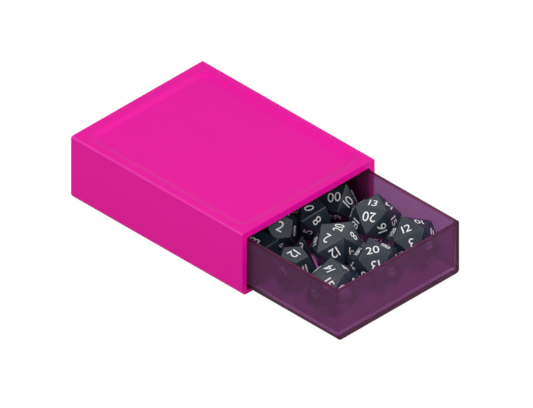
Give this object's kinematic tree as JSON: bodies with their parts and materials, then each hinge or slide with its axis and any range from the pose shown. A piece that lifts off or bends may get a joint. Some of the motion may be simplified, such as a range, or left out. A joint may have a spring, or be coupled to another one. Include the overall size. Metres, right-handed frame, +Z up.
{
  "type": "dice storage chest",
  "caption": "Matchbox-style storage chest: a moulded sleeve with a sunk roof panel and a see-through drawer that slides out of its open front, holding polyhedral dice.",
  "frame": {"origin": "middle of the sleeve's underside, on the surface that the chest stands on", "axes": "+Z up; -Y out of the sleeve's open front, the way the drawer pulls out; +X to the right of someone who faces the closed back"},
  "size_m": [0.082, 0.1616, 0.0331],
  "materials": {
    "sleeve_plastic": "satin magenta",
    "drawer_tinted_plastic": "see-through purple tint, finely frosted",
    "dice_plastic": "satin dark slate",
    "numeral_paint": "matt white"
  },
  "bodies": {
    "sleeve_body": {"sleeve": "sleeve_plastic"},
    "drawer_body": {"drawer": "drawer_tinted_plastic", "d20_front_left": "dice_plastic", "d20_front_middle": "dice_plastic", "d20_front_right": "dice_plastic", "d20_middle": "dice_plastic", "d20_right": "dice_plastic", "d12_left": "dice_plastic", "d12_inner": "dice_plastic", "d10_tens": "dice_plastic", "d10_units": "dice_plastic", "d8_back": "dice_plastic", "d6_left": "dice_plastic", "d4_middle": "dice_plastic"}
  },
  "joints": [
    {"name": "drawer_slide", "type": "slide", "parent": "sleeve_body", "child": "drawer_body", "axis": [0, -1, 0], "range_m": [-0.0558, 0.0422]}
  ]
}
